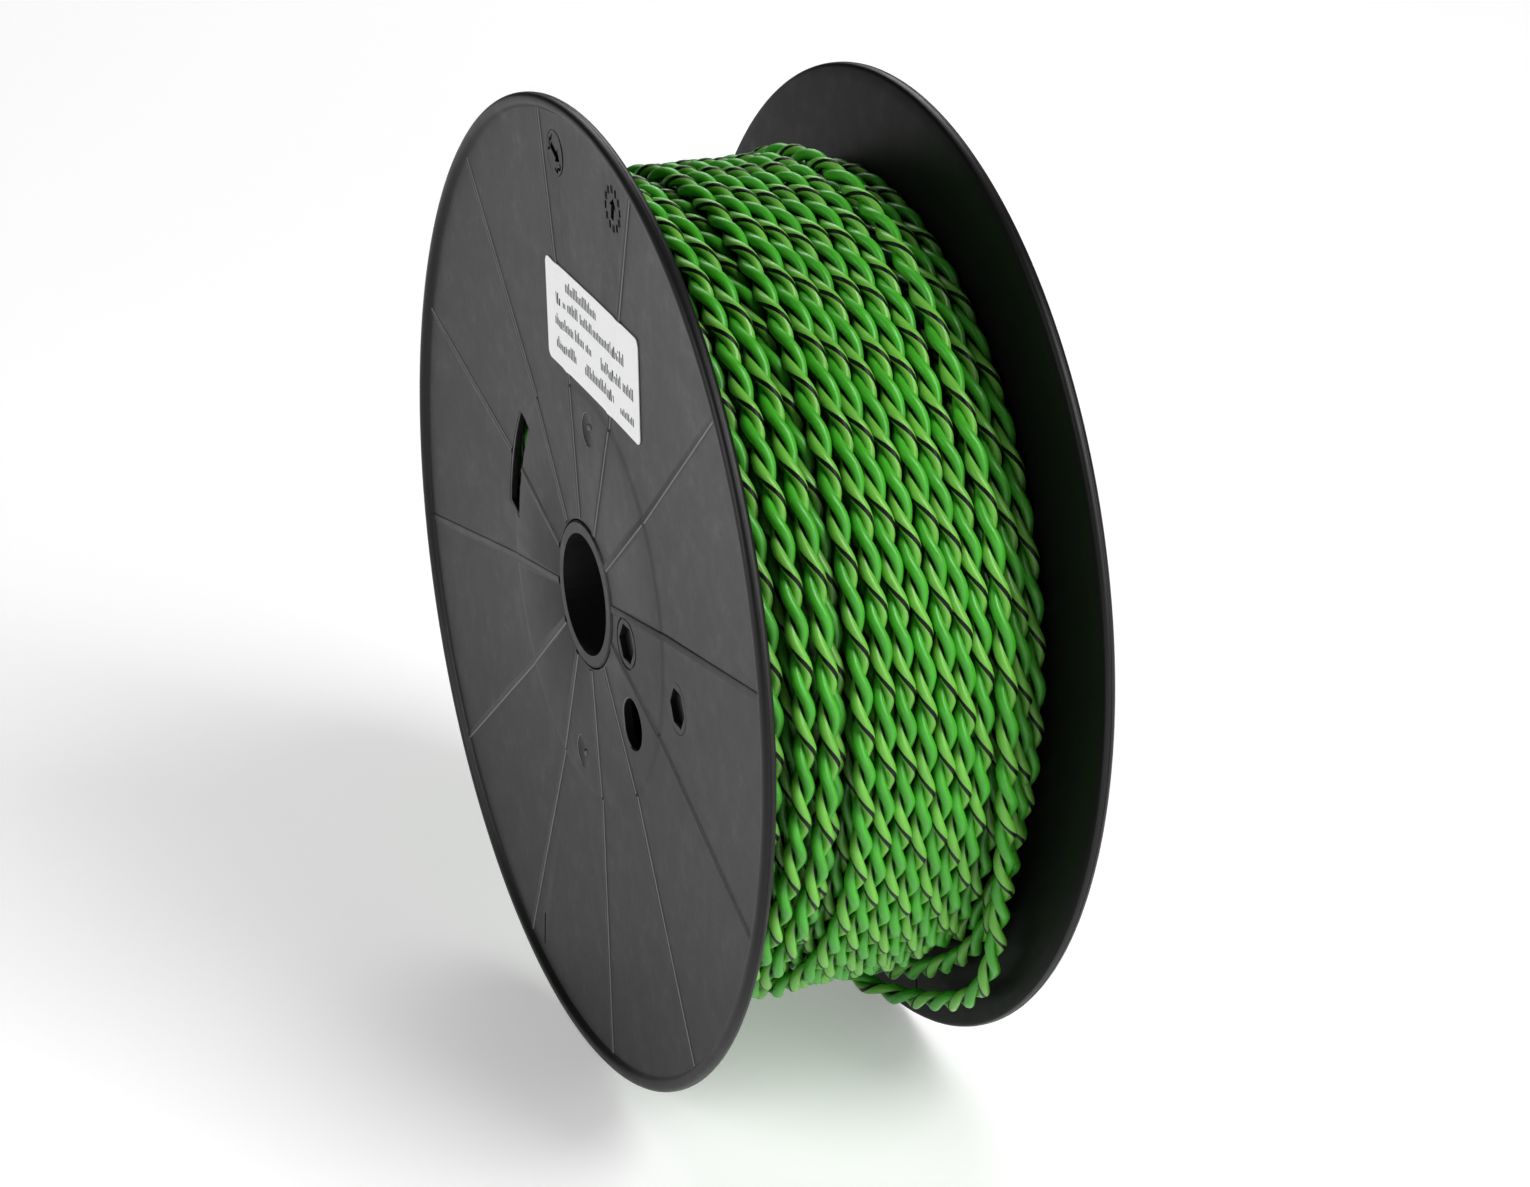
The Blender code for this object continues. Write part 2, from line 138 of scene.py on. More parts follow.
# ---------------------------------------------------------------- materials
def node(tree, kind, **values):
    made = tree.nodes.new(kind)
    for name, value in values.items():
        if hasattr(made, name):
            setattr(made, name, value)
        else:
            made.inputs[name.replace("_", " ")].default_value = value
    return made


def ramp(tree, source, stops):
    made = tree.nodes.new("ShaderNodeValToRGB")
    made.color_ramp.elements[0].position, made.color_ramp.elements[1].position = stops[0][0], stops[-1][0]
    made.color_ramp.elements[0].color = (*stops[0][1], 1.0)
    made.color_ramp.elements[1].color = (*stops[-1][1], 1.0)
    for place, colour in stops[1:-1]:
        made.color_ramp.elements.new(place).color = (*colour, 1.0)
    tree.links.new(source, made.inputs["Fac"])
    return made.outputs["Color"]


def grey(value):
    return (value, value, value)


def new_material(name, colour, roughness, specular=0.5):
    made = bpy.data.materials.new(name)
    made.use_nodes = True
    tree = made.node_tree
    shader = tree.nodes["Principled BSDF"]
    shader.inputs["Roughness"].default_value = roughness
    shader.inputs["Specular IOR Level"].default_value = specular
    made.diffuse_color = (*colour, 1.0)
    where = tree.nodes.new("ShaderNodeTexCoord").outputs["Object"]
    return made, tree, shader, where


def noise(tree, where, scale, detail=3.0, roughness=0.55):
    made = node(tree, "ShaderNodeTexNoise", Scale=scale, Detail=detail, Roughness=roughness)
    tree.links.new(where, made.inputs["Vector"])
    return made.outputs["Fac"]


def moulded_plastic(name, colour, roughness, mottling=0.12, specular=0.5, grain=0.05):
    """Satin injection-moulded plastic: cloudy flow marks, a fine grain and small scuffs."""
    made, tree, shader, where = new_material(name, colour, roughness, specular)
    low, high = (tuple(c * (1.0 + k * mottling) for c in colour) for k in (-1.0, 1.0))
    clouds = noise(tree, where, 22.0, 4.0, 0.6)
    tree.links.new(ramp(tree, clouds, [(0.35, low), (0.65, high)]), shader.inputs["Base Color"])
    scuffs = noise(tree, where, 160.0, 5.0, 0.7)
    gloss = ramp(tree, scuffs, [(0.38, grey(roughness * 1.06)), (0.55, grey(roughness)),
                                (0.72, grey(roughness * 0.86))])
    tree.links.new(gloss, shader.inputs["Roughness"])
    fine = noise(tree, where, 1400.0, 2.0, 0.5)
    bump = node(tree, "ShaderNodeBump", Strength=grain, Distance=0.0002)
    tree.links.new(fine, bump.inputs["Height"])
    tree.links.new(bump.outputs["Normal"], shader.inputs["Normal"])
    return made


# Painted shade: over these radii (metres), going in, the insulation's colour falls to the share of itself
# given beside them, darkening the wire towards the axis as if in the shadow of the turns above.
PAINTED_SHADE_R, PAINTED_SHADE_TONE = (0.0965, 0.1033), 0.25


def insulation(name, colour, roughness=0.37, variation=0.10, specular=0.5):
    """Soft PVC core insulation: a satin skin with colour drift and faint dents, and painted shade that
    darkens it towards the axis.
    """
    made, tree, shader, where = new_material(name, colour, roughness, specular)
    low, high = (tuple(c * (1.0 + k * variation) for c in colour) for k in (-1.0, 1.0))
    drift = noise(tree, where, 60.0, 3.0, 0.6)
    across = node(tree, "ShaderNodeVectorMath", operation="MULTIPLY")
    across.inputs[1].default_value = (0.0, 1.0, 1.0)
    tree.links.new(where, across.inputs[0])
    radius = node(tree, "ShaderNodeVectorMath", operation="LENGTH")
    tree.links.new(across.outputs["Vector"], radius.inputs[0])
    # Painted shade: the colour is scaled down by the distance from the reel's axis.
    depth = tree.nodes.new("ShaderNodeMapRange")
    for limit, value in zip(("From Min", "From Max", "To Min", "To Max"), (*PAINTED_SHADE_R, PAINTED_SHADE_TONE, 1.0)):
        depth.inputs[limit].default_value = value
    tree.links.new(radius.outputs["Value"], depth.inputs["Value"])
    painted_shade_colour = node(tree, "ShaderNodeVectorMath", operation="SCALE")
    tree.links.new(ramp(tree, drift, [(0.35, low), (0.65, high)]), painted_shade_colour.inputs[0])
    tree.links.new(depth.outputs["Result"], painted_shade_colour.inputs["Scale"])
    tree.links.new(painted_shade_colour.outputs["Vector"], shader.inputs["Base Color"])
    streaks = noise(tree, where, 420.0, 3.0, 0.6)
    gloss = ramp(tree, streaks, [(0.35, grey(roughness * 0.85)), (0.7, grey(roughness * 1.2))])
    tree.links.new(gloss, shader.inputs["Roughness"])
    dents = noise(tree, where, 260.0, 2.0, 0.5)
    bump = node(tree, "ShaderNodeBump", Strength=0.18, Distance=0.0004)
    tree.links.new(dents, bump.inputs["Height"])
    tree.links.new(bump.outputs["Normal"], shader.inputs["Normal"])
    return made


def paper_label(name):
    """Matt white paper with faint fibres."""
    made, tree, shader, where = new_material(name, (0.88, 0.88, 0.89), 0.45)
    fibres = noise(tree, where, 700.0, 4.0, 0.7)
    tree.links.new(ramp(tree, fibres, [(0.3, (0.86, 0.86, 0.87)), (0.7, (0.91, 0.91, 0.92))]),
                   shader.inputs["Base Color"])
    bump = node(tree, "ShaderNodeBump", Strength=0.05, Distance=0.0001)
    tree.links.new(fibres, bump.inputs["Height"])
    tree.links.new(bump.outputs["Normal"], shader.inputs["Normal"])
    return made


FLANGE_BLACK = moulded_plastic("flange_black_plastic", (0.0046, 0.0044, 0.0046), 0.42, specular=0.29)
# Painted light: a lighter copy of the black plastic, put on one flank of each rib so that the flank shows as
# lit.
RIB_PAINTED_LIGHT = moulded_plastic("flange_painted_rib_light", (0.145, 0.144, 0.146), 0.45, specular=0.30)
# Painted shade: a duller, less reflective copy of the black plastic, put on the inner faces so that they show
# as shaded.
INNER_PAINTED_SHADE = moulded_plastic("flange_inner_painted_shade", (0.0042, 0.0041, 0.0043), 0.42, specular=0.08)
CAD_BLACK = moulded_plastic("inner_black_plastic", (0.005, 0.005, 0.0055), 0.5)
PLAIN_GREEN = insulation("plain_green_insulation", (0.050, 0.370, 0.017))
LIGHT_GREEN = insulation("striped_green_insulation", (0.140, 0.450, 0.046))
# Partly real, partly painted shade: the stripes' own black, drawn wider than the real stripes so that the
# extra black stands in for the shadow beside them.
STRIPE_AND_SHADE_BLACK = insulation("black_stripe_and_painted_shade", (0.003, 0.003, 0.003), 0.45, specular=0.2)
LABEL_WHITE = paper_label("label_paper")
PRINT_BLACK = moulded_plastic("label_print", (0.012, 0.012, 0.013), 0.6, 0.2, specular=0.2)
CORES = (PLAIN_GREEN, LIGHT_GREEN, STRIPE_AND_SHADE_BLACK)
MOULDING = (FLANGE_BLACK, INNER_PAINTED_SHADE, RIB_PAINTED_LIGHT)


# ---------------------------------------------------------------- mesh helpers
def make_object(name, verts, faces, materials, face_material=None, smooth=True, matrix=None):
    """Mesh object in metres from points in millimetres."""
    mesh = bpy.data.meshes.new(name)
    mesh.from_pydata((np.asarray(verts, float) * MM).tolist(), [], faces)
    for mat in materials:
        mesh.materials.append(mat)
    if face_material is not None:
        mesh.polygons.foreach_set("material_index", np.asarray(face_material, np.int32))
    if matrix is not None:
        mesh.transform(matrix)
    if smooth:
        mesh.shade_smooth()
    mesh.update()
    made = bpy.data.objects.new(name, mesh)
    bpy.context.scene.collection.objects.link(made)
    return made


def finish_piece(piece, slot, *stands_for):
    """Rides a piece on the reel's one body and hides the CAD nodes that it stands for; slot is not used."""
    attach(piece, "root")
    if stands_for:
        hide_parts(*stands_for)
    return piece


def lathe(profile, segments):
    """Points and outward-facing quads of a ring turned from a closed profile of (radius, height)."""
    profile = np.asarray(profile, float)
    following = np.roll(profile, -1, axis=0)
    if np.sum(profile[:, 0] * following[:, 1] - following[:, 0] * profile[:, 1]) < 0.0:
        profile = profile[::-1]
    count = len(profile)
    angle = (np.arange(segments) + 0.5) * 2.0 * math.pi / segments
    verts = np.stack([np.outer(np.cos(angle), profile[:, 0]), np.outer(np.sin(angle), profile[:, 0]),
                      np.tile(profile[:, 1], (segments, 1))], axis=-1).reshape(-1, 3)
    faces = []
    for s in range(segments):
        here, there = s * count, (s + 1) % segments * count
        for p in range(count):
            q = (p + 1) % count
            faces.append((here + q, here + p, there + p, there + q))
    return verts, faces


def stack_faces(count, levels):
    """Faces of a closed solid through copies of an outline of count points, stacked low to high."""
    faces = [tuple(range(count))[::-1], tuple(range((levels - 1) * count, levels * count))]
    for level in range(levels - 1):
        base = level * count
        for i in range(count):
            j = (i + 1) % count
            faces.append((base + i, base + j, base + count + j, base + count + i))
    return faces


def prism(outline, levels):
    """Closed solid through copies of an outline, one for each (height, growth in mm) level, low to high."""
    outline = np.asarray(outline, float)
    onward = np.roll(outline, -1, axis=0)
    if np.sum(outline[:, 0] * onward[:, 1] - outline[:, 1] * onward[:, 0]) < 0.0:
        outline = outline[::-1]
    centre = outline.mean(axis=0)
    away = outline - centre
    away /= np.linalg.norm(away, axis=1)[:, None]
    count = len(outline)
    verts = np.concatenate([np.column_stack([outline + away * growth, np.full(count, height)])
                            for height, growth in levels])
    return verts, stack_faces(count, len(levels))


def circle(radius, segments, u=0.0, v=0.0):
    """Outline of a regular polygon round (u, v)."""
    angle = np.arange(segments) * 2.0 * math.pi / segments
    return np.column_stack([u + radius * np.cos(angle), v + radius * np.sin(angle)])


def block(u, v, width, length, turn_deg=0.0):
    """Outline of a rectangle, its length along the direction turn_deg."""
    c, s = math.cos(math.radians(turn_deg)), math.sin(math.radians(turn_deg))
    corners = [(-length, -width), (length, -width), (length, width), (-length, width)]
    return [(u + 0.5 * (a * c - b * s), v + 0.5 * (a * s + b * c)) for a, b in corners]


def on_face(radius, angle_deg):
    """Place on a flange's face, from its distance and direction from the bore."""
    return radius * math.cos(math.radians(angle_deg)), radius * math.sin(math.radians(angle_deg))


def joined(parts):
    """Several (verts, faces) solids as one list of points and faces."""
    verts, faces, base = [], [], 0
    for part_verts, part_faces in parts:
        part_verts = np.asarray(part_verts, float)
        verts.append(part_verts)
        faces += [tuple(base + i for i in face) for face in part_faces]
        base += len(part_verts)
    return np.concatenate(verts), faces


def boolean(target, operand, operation):
    """Applies a boolean of one closed mesh with another, then removes the operand."""
    modifier = target.modifiers.new("boolean", "BOOLEAN")
    modifier.operation = operation
    modifier.object = operand
    modifier.solver = "MANIFOLD"
    graph = bpy.context.evaluated_depsgraph_get()
    result = bpy.data.meshes.new_from_object(target.evaluated_get(graph))
    target.modifiers.clear()
    old = target.data
    target.data = result
    bpy.data.meshes.remove(old)
    operand_mesh = operand.data
    bpy.data.objects.remove(operand)
    bpy.data.meshes.remove(operand_mesh)


# ---------------------------------------------------------------- flange mouldings
FLANGE_SEGMENTS = 288
RIB_HEAD_R = 19.55                            # where a rib starts, just outside the bore
# Each socket's place, the radius of its corners, and the width of the ring line round it.
HEX_SOCKETS = ((28.8, -2.2, 5.15, 0.5), (62.6, -5.5, 5.0, 0.2))
SOCKET_DEPTH, SOCKET_LINE_R = 1.7, 6.3
DRIVE_HOLE, DRIVE_HOLE_R = (31.9, -22.4), 6.5
DRIVE_NOTCH, DRIVE_NOTCH_AT, DRIVE_NOTCH_WIDTH = 0.55, 192.0, 20.0
SLOT_MID = RIB_START + 5 * STEP
SLOT_MID_R = 54.0
SLOT_EDGES = ((50.4, 16.9, 1), (58.0, 14.8, -1))     # radius, half angle, order of the points
GATE_MARKS = ((45.0, RIB_START + 2.5 * STEP), (45.0, RIB_START - 3.5 * STEP))
# A gate mark's bowl, as (depth below the face, radius).
GATE_HOLLOW = ((0.7, 0.05), (0.66, 1.1), (0.52, 2.2), (0.30, 3.4), (0.10, 4.2), (-0.5, 5.2))
TIE_SLIT, TIE_SLIT_SIZE = (113.8, -106.5), (0.7, 9.3)
ARROW_DIAL = (-8.8, 110.8)
MONTH_DIAL = (30.3, 106.8)
BATCH_MARKS = ((120, 60), (138, 170), (156, 80), (176, 20), (-40, 100), (-56, 10), (-74, 70), (-90, 150))
MARK_DEPTH = 1.1
THROUGH_LOW, THROUGH_HIGH = 30.0, 45.0        # heights well inside and well outside the plate
SHARP_DEG, LABEL_SHARP_DEG = 28.0, 40.0       # edges that turn by more than this stay sharp

# Three tones of the moulding, as numbers of the materials in MOULDING.  Two of them stand in for light:
# a darker one on the inner faces, and a lighter one on one flank of each rib.
OUTER_TONE, INNER_SHADE_TONE, FLANK_LIGHT_TONE = 0, 1, 2
INWARD = -0.7                                 # a face whose normal points inwards by more is an inner face
FLANK_RISE = (0.05, 0.965)                    # how far outwards the normal of a rib's flank points
FLANK_LEAN = 0.12                             # and at least how far sideways
FLANK_ZONES = ((22.0, DISC_R - 0.8), (DISC_R + 1.2, 114.5))


def flange_blank():
    """The plain turned flange: flat disc, dished web, rim bead, and a spigot that enters the barrel."""
    rim, foot = EDGE_R, RIM_FOOT_R
    disc = [(HUB_HOLE_R, DISC_X - 0.3), (HUB_HOLE_R + 0.1, DISC_X - 0.08), (HUB_HOLE_R + 0.3, DISC_X),
            (DISC_R - 1.4, DISC_X), (DISC_R - 0.6, DISC_X - 0.02), (DISC_R, DISC_X - 0.09),
            (DISC_R + 0.8, DISC_X - 0.17), (DISC_R + 1.8, face_x(DISC_R + 1.8))]
    bead = [(foot - 0.6, face_x(foot - 0.6)), (foot + 0.1, face_x(foot) + 0.12), (foot + 0.5, 41.85),
            (foot + 0.8, 42.35), (foot + 1.2, 42.82), (foot + 1.7, 43.1), (foot + 2.2, 43.18),
            (rim - 1.2, 43.16), (rim - 0.75, 43.02), (rim - 0.35, 42.72), (rim - 0.1, 42.3),
            (rim - 0.01, 41.95), (rim, 41.78), (rim - 0.09, 41.70), (rim - 0.09, 41.58), (rim, 41.50)]
    inner = [(rim - 0.01, 41.2), (rim - 0.1, 40.75), (rim - 0.35, 40.35), (rim - 0.8, 40.08),
             (rim - 1.4, 39.95), (foot + 0.6, 39.66), (foot - 0.4, RIM_INNER_X - 0.03)]
    spigot = [(BARREL_R, PLATE_INNER_X), (47.1, PLATE_INNER_X), (47.1, 31.5), (45.5, 31.5),
              (45.5, PLATE_INNER_X), (HUB_HOLE_R, PLATE_INNER_X)]
    return lathe(disc + bead + inner + spigot, FLANGE_SEGMENTS)


def rib(angle_deg):
    """One low radial rib: a rounded bar that follows the dished face."""
    stations = [(RIB_HEAD_R, DISC_X), (DISC_R - 0.3, DISC_X), (DISC_R + 0.4, face_x(DISC_R + 0.4)),
                (RIM_FOOT_R + 0.4, face_x(RIM_FOOT_R + 0.4))]
    section = [(-1.05, -0.9), (-1.05, 0.05), (-0.92, 0.17), (-0.65, 0.26), (-0.25, 0.30), (0.25, 0.30),
               (0.65, 0.26), (0.92, 0.17), (1.05, 0.05), (1.05, -0.9)]
    c, s = math.cos(math.radians(angle_deg)), math.sin(math.radians(angle_deg))
    count = len(section)
    verts = [(r * c - t * s, r * s + t * c, x + h) for r, x in stations for t, h in section]
    faces = [tuple(range(count)), tuple(range((len(stations) - 1) * count, len(stations) * count))[::-1]]
    for k in range(len(stations) - 1):
        base = k * count
        for i in range(count):
            j = (i + 1) % count
            faces.append((base + j, base + i, base + count + i, base + count + j))
    return np.array(verts), faces


def through_cut(outline, top):
    """Cutter for a hole right through the plate, its outer edge slightly rounded."""
    return prism(outline, [(THROUGH_LOW, 0.0), (top - 0.28, 0.0), (top - 0.1, 0.1), (top + 0.02, 0.3),
                           (top + 2.0, 0.3)])


def slot_outline():
    """Outline of the curved slot that the wire's inner end comes out of."""
    points = []
    for radius, half, ends in SLOT_EDGES:
        arc = np.radians(SLOT_MID + np.linspace(-half, half, 25))
        ring = np.column_stack([radius * np.cos(arc), radius * np.sin(arc)])
        points.append(ring[::ends])
    return np.concatenate(points)


def drive_hole_outline():
    """Outline of the driving hole, slightly pressed in on one side."""
    u, v = DRIVE_HOLE
    angle = np.arange(72) * 2.0 * math.pi / 72
    waist = np.exp(-((np.degrees(angle) - DRIVE_NOTCH_AT) / DRIVE_NOTCH_WIDTH) ** 2)
    radius = DRIVE_HOLE_R - DRIVE_NOTCH * waist
    return np.column_stack([u + radius * np.cos(angle), v + radius * np.sin(angle)])


def shallow_cut(outline, top, depth):
    """Straight-sided cutter that goes depth into the face at height top."""
    return prism(outline, [(top - depth, 0.0), (top + 1.0, 0.0)])


def dimple(radius, angle_deg):
    """Shallow bowl-shaped cutter for a gate mark."""
    u, v = on_face(radius, angle_deg)
    count = 48
    top = face_x(radius)
    verts = np.concatenate([np.column_stack([circle(size, count, u, v), np.full(count, top - deep)])
                            for deep, size in GATE_HOLLOW])
    return verts, stack_faces(count, len(GATE_HOLLOW))


def gate_nub(radius, angle_deg):
    """The torn stub of the gate in its mark: a small cone with an uneven foot."""
    u, v = on_face(radius + 0.3, angle_deg + 0.6)
    foot = circle(0.75, 9, u, v) + rng.uniform(-0.12, 0.12, (9, 2))
    return prism(foot, [(DISC_X - 1.2, 0.5), (DISC_X - 0.55, 0.1), (DISC_X - 0.2, -0.2),
                        (DISC_X - 0.12, -0.45)])


def groove(u, v, radius, width, top, depth):
    """Ring-shaped cutter for a fine circular line."""
    verts, faces = lathe([(radius - 0.5 * width, top + 0.5), (radius + 0.5 * width, top + 0.5),
                          (radius + 0.5 * width, top - depth), (radius - 0.5 * width, top - depth)], 72)
    return verts + np.array([u, v, 0.0]), faces


def arrow_cut(u, v, length, turn_deg, width, top):
    """Cutter for an arrow with its middle at (u, v)."""
    c, s = math.cos(math.radians(turn_deg)), math.sin(math.radians(turn_deg))
    shape = [(-0.5, -0.5), (0.1, -0.5), (0.1, -1.1), (0.5, 0.0), (0.1, 1.1), (0.1, 0.5), (-0.5, 0.5)]
    outline = [(u + a * length * c - b * width * s, v + a * length * s + b * width * c) for a, b in shape]
    return shallow_cut(outline, top, 0.9)


def arc_band(u, v, inner, outer, start_deg, end_deg):
    """Outline of part of a ring, its inner and outer radius given at the start, middle and end."""
    share = np.linspace(0.0, 1.0, 25)
    arc = np.radians(start_deg + (end_deg - start_deg) * share)
    low, high = (np.interp(share, (0.0, 0.5, 1.0), radii) for radii in (inner, outer))
    way_in = np.column_stack([u + low * np.cos(arc), v + low * np.sin(arc)])
    way_out = np.column_stack([u + high * np.cos(arc), v + high * np.sin(arc)])
    return np.concatenate([way_out, way_in[::-1]])


def dial_cuts():
    """Two date dials: an arrow among batch marks, and an arrow in a ring of twelve month marks."""
    u, v = ARROW_DIAL
    top = face_x(math.hypot(u, v))
    parts = [shallow_cut(arc_band(u, v, (5.5, 4.9, 5.5), (5.7, 5.9, 5.7), -70.0, 95.0), top, 0.8),
             shallow_cut(arc_band(u, v, (5.55, 5.55, 5.55), (5.75, 5.75, 5.75), 100.0, 285.0), top, 0.2),
             arrow_cut(u, v, 6.6, -30.0, 1.9, top)]
    for angle, lean in BATCH_MARKS:
        du, dv = on_face(4.2, angle)
        parts.append(shallow_cut(block(u + du, v + dv, 0.7, 1.5, lean), top, MARK_DEPTH))
    u, v = MONTH_DIAL
    top = face_x(math.hypot(u, v))
    parts.append(arrow_cut(u, v, 5.4, 76.0, 1.9, top))
    for month in range(1, 13):
        double = month % 2 == 0 or month == 11
        width = 0.64 if double else 1.1
        du, dv = on_face(4.7, 90.0 - 30.0 * month)
        for shift in (-0.42, 0.42) if double else (0.0,):
            parts.append(shallow_cut(block(u + du + shift, v + dv, width, 1.9, 90.0), top, MARK_DEPTH))
    return parts


def face_tone(face):
    """Which of the moulding's tones a flange's face has: painted shade on the inner faces, painted light on
    one flank of each rib, and the plain black elsewhere.
    """
    side = math.copysign(1.0, face.center.x)
    outward = face.normal.x * side
    if outward < INWARD:
        return INNER_SHADE_TONE
    radius = math.hypot(face.center.y, face.center.z) / MM
    in_zone = any(low < radius < high for low, high in FLANK_ZONES)
    leans = FLANK_RISE[0] < outward < FLANK_RISE[1] and face.normal.y * side > FLANK_LEAN
    return FLANK_LIGHT_TONE if in_zone and leans else OUTER_TONE


def flange(name, matrix, with_dials):
    """One flange moulding, made in its own axes and then placed by matrix."""
    body = make_object(name, *flange_blank(), [FLANGE_BLACK], smooth=False)
    ribs = [rib(RIB_START + k * STEP) for k in range(RIB_COUNT)]
    cuts = [through_cut(slot_outline(), face_x(SLOT_MID_R)), through_cut(drive_hole_outline(), DISC_X)]
    for u, v, corner, line in HEX_SOCKETS:
        top = face_x(math.hypot(u, v))
        cuts.append(prism(circle(corner, 6, u, v),
                          [(top - SOCKET_DEPTH, -0.05), (top - 0.12, 0.0), (top + 0.5, 0.3)]))
        cuts.append(groove(u, v, SOCKET_LINE_R, line, top, 0.6 * line))
    slit = block(*on_face(*TIE_SLIT), *TIE_SLIT_SIZE, 90.0)
    cuts.append(prism(slit, [(THROUGH_LOW, 0.0), (THROUGH_HIGH, 0.0)]))
    if with_dials:
        cuts += dial_cuts()
    dimples = [dimple(*mark) for mark in GATE_MARKS]
    nubs = [gate_nub(*mark) for mark in GATE_MARKS]
    for kind, solids, operation in (("ribs", ribs, "UNION"), ("cuts", cuts, "DIFFERENCE"),
                                    ("dimples", dimples, "DIFFERENCE"), ("nubs", nubs, "UNION")):
        boolean(body, make_object(kind, *joined(solids), []), operation)
    mesh = body.data
    mesh.transform(matrix)
    mesh.materials.clear()
    for plastic in MOULDING:
        mesh.materials.append(plastic)
    mesh.polygons.foreach_set("material_index", [face_tone(face) for face in mesh.polygons])
    mesh.shade_smooth()
    mesh.set_sharp_from_angle(angle=math.radians(SHARP_DEG))
    return body


# ---------------------------------------------------------------- twisted wire
CORE_R = 1.38               # radius of one insulated core
CORE_OFFSET = 1.31          # how far a core's middle lies from the pair's middle
LAY = 19.8                  # length of one full twist
STRIPE_DEG = 40.0           # where the stripe lies round the core, measured from the pair's outside
STRIPE_AND_SHADE_SPAN = 44.0          # how far round the core each of its two opposite stripes reaches: about twice the real stripe, the black beyond it being painted shade for the shadow along the stripe
RINGS_PER_LAY = 16
CORE_SIDES = 12


def unit(v):
    """Vectors, each at length 1."""
    return v / np.linalg.norm(v, axis=-1, keepdims=True)


def running_slope(points, closed):
    """Direction of travel at each point of a route."""
    if closed:
        return np.roll(points, -1, axis=0) - np.roll(points, 1, axis=0)
    return np.gradient(points, axis=0)


def twisted_pair(route, outward, twist, sides=CORE_SIDES, closed=False):
    """Points, faces and material numbers of two cores twisted round a route (mm)."""
    tangent = unit(running_slope(route, closed))
    outward = unit(outward - np.sum(outward * tangent, axis=1)[:, None] * tangent)
    side = np.cross(outward, tangent)
    count = len(route)
    plain = (180.0 - STRIPE_AND_SHADE_SPAN) / (sides // 2 - 1)
    half = np.concatenate([[-0.5 * STRIPE_AND_SHADE_SPAN], 0.5 * STRIPE_AND_SHADE_SPAN + plain * np.arange(sides // 2 - 1)])
    around = np.radians(STRIPE_DEG + np.concatenate([half, half + 180.0]))
    verts, faces, materials = [], [], []
    for core in range(2):
        angle = (twist + math.pi * core)[:, None]
        away = np.cos(angle) * outward + np.sin(angle) * side
        middle = route + CORE_OFFSET * away
        run = unit(running_slope(middle, closed))
        first = unit(away - np.sum(away * run, axis=1)[:, None] * run)
        second = np.cross(run, first)
        rings = (middle[:, None, :] + CORE_R * (np.cos(around)[None, :, None] * first[:, None, :]
                                                + np.sin(around)[None, :, None] * second[:, None, :]))
        base = core * count * sides
        verts.append(rings.reshape(-1, 3))
        spans = count if closed else count - 1
        i = np.arange(spans)[:, None] * sides
        n = (np.arange(spans)[:, None] + 1) % count * sides
        j = np.arange(sides)[None, :]
        k = (j + 1) % sides
        quads = np.stack([i + j, i + k, n + k, n + j], axis=-1).reshape(-1, 4) + base
        faces += quads.tolist()
        pattern = np.full(sides, 1 - core)
        if core == 0:
            pattern[[0, sides // 2]] = 2
        materials.append(np.tile(pattern, spans))
        if not closed:
            faces.append([base + s for s in range(sides)][::-1])
            faces.append([base + (count - 1) * sides + s for s in range(sides)])
            materials.append(np.full(2, 1 - core))
    return np.concatenate(verts), faces, np.concatenate(materials)


# The wire runs downwards over the front (-Y) side, so its travel grows as the angle up from -Y falls:
# travel = 360 x turn - angle.  Each turn of the top layer has its places along the axis where it passes
# the angles in SEEN, the length of a full twist, and the twist at TWIST_AT in degrees.
SEEN = (85.0, 60.0, 40.0, 20.0, 0.0, -20.0, -45.0)
TWIST_AT = 22.0
TOP_R, LOW_R = 101.8, 98.9
TOP_TURNS = (
    ((-25.7, -25.8, -25.6, -24.5, -23.6, -24.2, -26.0), 19.10, 3.0),
    ((-21.7, -20.7, -19.7, -18.6, -17.6, -17.7, -19.8), 21.05, 12.0),
    ((-11.2, -11.3, -10.9, -10.6, -9.3, -7.2, -7.1), 19.85, 47.0),
    ((-6.0, -6.2, -5.6, -4.85, -3.85, -2.4, -2.1), 20.0, -130.0),
    ((-1.2, -1.35, -0.95, 0.55, 1.4, 2.6, 2.9), 19.35, -154.0),
    ((3.55, 3.35, 4.0, 5.85, 6.65, 7.6, 8.1), 19.8, 92.0),
    ((8.8, 8.4, 9.05, 10.8, 11.5, 12.2, 12.6), 19.6, 170.0),
    ((14.15, 13.6, 13.9, 15.55, 16.4, 16.9, 16.8), 20.1, 63.0),
    ((18.8, 18.7, 18.85, 20.2, 21.2, 21.8, 21.4), 19.6, -152.0),
)
# The wound turns hang up to SAG away from the drum along its underside, in these shares by travel.
# A turn that lies further out hangs less, and not at all from the radius SAG_END, over a stretch of SAG_FADE.
SAG, SAG_END, SAG_FADE = 2.4, TOP_R + 3.2, 2.0
SAG_AT = (0.0, 12.0, 25.0, 38.0, 50.0, 110.0, 125.0, 145.0, 160.0)
SAG_SHARE = (0.0, 0.15, 0.5, 0.85, 1.0, 1.0, 0.8, 0.2, 0.0)
